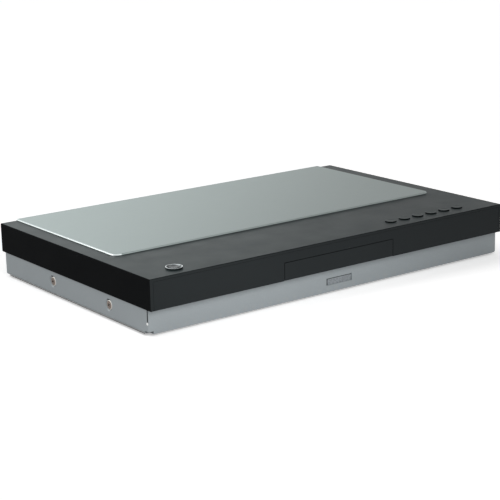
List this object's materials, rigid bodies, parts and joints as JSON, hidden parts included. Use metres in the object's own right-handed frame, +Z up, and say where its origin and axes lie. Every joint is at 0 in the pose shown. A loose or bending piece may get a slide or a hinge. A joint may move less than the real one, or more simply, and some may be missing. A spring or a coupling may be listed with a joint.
{
  "type": "disc recorder",
  "caption": "Slim disc recorder: black upper body over a silver sheet chassis, silver top panel, front tray door and round top buttons.",
  "frame": {"origin": "middle of the footprint, on the surface that the recorder stands on", "axes": "+X to the recorder's right seen from the front, +Y to its back, +Z up"},
  "size_m": [0.43, 0.275, 0.0557],
  "materials": {
    "badge_silver": "satin",
    "belt_rubber": "black",
    "block_plastic": "black",
    "board_brown": "paper board",
    "board_green": "solder mask",
    "bridge_steel": "zinc plated",
    "cam_plastic": "natural acetal",
    "can_steel": "tin plated",
    "capacitor_sleeve": "dark blue sleeve",
    "chassis_silver": "satin silver grey",
    "chip_black": "moulded",
    "clamper_plastic": "black",
    "cover_black": "satin black",
    "display_glass": "smoked glass",
    "door_black": "polished black",
    "fan_plastic": "black",
    "fascia_black": "polished smoked black",
    "foot_rubber": "matt black",
    "frame_plastic": "black",
    "gear_plastic": "natural acetal",
    "inlet_plastic": "black",
    "insulator_plastic": "coloured rings",
    "key_black": "satin black",
    "lens_glass": "coated",
    "motor_steel": "zinc plated",
    "panel_silver": "satin silver",
    "pickup_metal": "die cast",
    "power_dark": "dark",
    "rear_grey": "satin grey",
    "ring_chrome": "polished",
    "rod_steel": "ground",
    "screw_black": "black",
    "screw_nickel": "nickel",
    "sink_aluminium": "extruded",
    "socket_metal": "nickel plated",
    "spindle_board": "solder mask",
    "switch_black": "black",
    "transformer_tape": "yellow tape",
    "traverse_steel": "zinc plated",
    "tray_plastic": "fine grain black",
    "turntable_plastic": "black"
  },
  "bodies": {
    "root": {"aerial_sockets": "socket_metal", "badge_plate": "badge_silver", "base_chassis": "chassis_silver", "capacitors": "capacitor_sleeve", "clamp_bridge": "bridge_steel", "digital_socket": "can_steel", "display_board": "board_green", "display_tube": "display_glass", "drive_belt": "belt_rubber", "fan_frame": "fan_plastic", "feet": "foot_rubber", "front_fascia": "fascia_black", "heat_sink": "sink_aluminium", "jack_blocks": "block_plastic", "jack_insulators": "insulator_plastic", "jack_shells": "socket_metal", "key_board": "board_green", "key_switches": "switch_black", "loader_frame": "frame_plastic", "loading_motor": "motor_steel", "main_board": "board_green", "main_chips": "chip_black", "mains_inlet": "inlet_plastic", "power_board": "board_brown", "power_key_board": "board_green", "power_ring": "ring_chrome", "rear_panel": "rear_grey", "rear_screws": "screw_black", "side_screws": "screw_nickel", "top_panel": "panel_silver", "transformer": "transformer_tape", "tuner_can": "can_steel", "upper_cover": "cover_black"},
    "tray": {"disc_tray": "tray_plastic", "tray_door": "door_black"},
    "drive_gear": {"drive_gear": "gear_plastic"},
    "pulley_gear": {"pulley_gear": "gear_plastic"},
    "motor_pulley": {"motor_pulley": "gear_plastic"},
    "cam_slider": {"cam_slider": "cam_plastic"},
    "traverse": {"traverse_frame": "traverse_steel", "spindle_base": "spindle_board", "guide_rods": "rod_steel", "feed_motor": "motor_steel"},
    "spindle": {"spindle_rotor": "motor_steel", "turntable": "turntable_plastic"},
    "pickup": {"pickup_sled": "pickup_metal"},
    "lens": {"objective_lens": "lens_glass"},
    "lead_screw": {"lead_screw": "rod_steel"},
    "clamper": {"clamper": "clamper_plastic"},
    "fan": {"fan_rotor": "fan_plastic"},
    "power_button": {"power_button": "power_dark"},
    "open_button": {"open_button": "key_black"},
    "stop_button": {"stop_button": "key_black"},
    "play_button": {"play_button": "key_black"},
    "record_button": {"record_button": "key_black"},
    "channel_down_button": {"channel_down_button": "key_black"},
    "channel_up_button": {"channel_up_button": "key_black"}
  },
  "joints": [
    {"name": "tray_slide", "type": "slide", "parent": "root", "child": "tray", "axis": [0, -1, 0], "range_m": [0, 0.132]},
    {"name": "drive_gear_spin", "type": "hinge", "parent": "root", "child": "drive_gear", "pos_m": [-0.04822, -0.108, 0.02], "axis": [0, 0, 1], "range_deg": [-10, 770]},
    {"name": "pulley_gear_spin", "type": "hinge", "parent": "root", "child": "pulley_gear", "pos_m": [-0.02414, -0.108, 0.02], "axis": [0, 0, 1], "range_deg": [-1860, 20]},
    {"name": "motor_pulley_spin", "type": "hinge", "parent": "root", "child": "motor_pulley", "pos_m": [0.0192, -0.108, 0.018], "axis": [0, 0, 1], "range_deg": [-6720, 40]},
    {"name": "traverse_lift", "type": "hinge", "parent": "root", "child": "traverse", "pos_m": [-0.0008, 0.036, 0.015], "axis": [1, 0, 0], "range_deg": [0, 3]},
    {"name": "cam_slide", "type": "slide", "parent": "root", "child": "cam_slider", "axis": [1, 0, 0], "range_m": [0, 0.0161]},
    {"name": "pickup_slide", "type": "slide", "parent": "traverse", "child": "pickup", "axis": [0, 1, 0], "range_m": [0, 0.035]},
    {"name": "lead_screw_spin", "type": "hinge", "parent": "traverse", "child": "lead_screw", "pos_m": [0.0332, -0.02, 0.0205], "axis": [0, 1, 0], "range_deg": [-30, 4250]},
    {"name": "lens_focus", "type": "slide", "parent": "pickup", "child": "lens", "axis": [0, 0, 1], "range_m": [-0.0004, 0.0004], "stiffness_N_per_m": 60},
    {"name": "spindle_spin", "type": "hinge", "parent": "traverse", "child": "spindle", "pos_m": [-0.0008, -0.07, 0.025], "axis": [0, 0, 1], "continuous": true},
    {"name": "clamper_spin", "type": "hinge", "parent": "root", "child": "clamper", "pos_m": [-0.0008, -0.07, 0.036], "axis": [0, 0, 1], "continuous": true},
    {"name": "fan_spin", "type": "hinge", "parent": "root", "child": "fan", "pos_m": [-0.042, 0.122, 0.025], "axis": [0, 1, 0], "continuous": true},
    {"name": "power_press", "type": "slide", "parent": "root", "child": "power_button", "axis": [0, 0, -1], "range_m": [0, 0.0008], "stiffness_N_per_m": 600},
    {"name": "open_press", "type": "slide", "parent": "root", "child": "open_button", "axis": [0, 0, -1], "range_m": [0, 0.0008], "stiffness_N_per_m": 600},
    {"name": "stop_press", "type": "slide", "parent": "root", "child": "stop_button", "axis": [0, 0, -1], "range_m": [0, 0.0008], "stiffness_N_per_m": 600},
    {"name": "play_press", "type": "slide", "parent": "root", "child": "play_button", "axis": [0, 0, -1], "range_m": [0, 0.0008], "stiffness_N_per_m": 600},
    {"name": "record_press", "type": "slide", "parent": "root", "child": "record_button", "axis": [0, 0, -1], "range_m": [0, 0.0008], "stiffness_N_per_m": 600},
    {"name": "channel_down_press", "type": "slide", "parent": "root", "child": "channel_down_button", "axis": [0, 0, -1], "range_m": [0, 0.0008], "stiffness_N_per_m": 600},
    {"name": "channel_up_press", "type": "slide", "parent": "root", "child": "channel_up_button", "axis": [0, 0, -1], "range_m": [0, 0.0008], "stiffness_N_per_m": 600}
  ],
  "couplings": [
    {"joint": "drive_gear_spin", "follows": "tray_slide", "rad_per_m": 100},
    {"joint": "pulley_gear_spin", "follows": "tray_slide", "rad_per_m": -242.86},
    {"joint": "motor_pulley_spin", "follows": "tray_slide", "rad_per_m": -868.4},
    {"joint": "cam_slide", "follows": "traverse_lift", "m_per_rad": 0.30558},
    {"joint": "lead_screw_spin", "follows": "pickup_slide", "rad_per_m": 2094.4},
    {"joint": "clamper_spin", "follows": "spindle_spin", "ratio": 1}
  ]
}
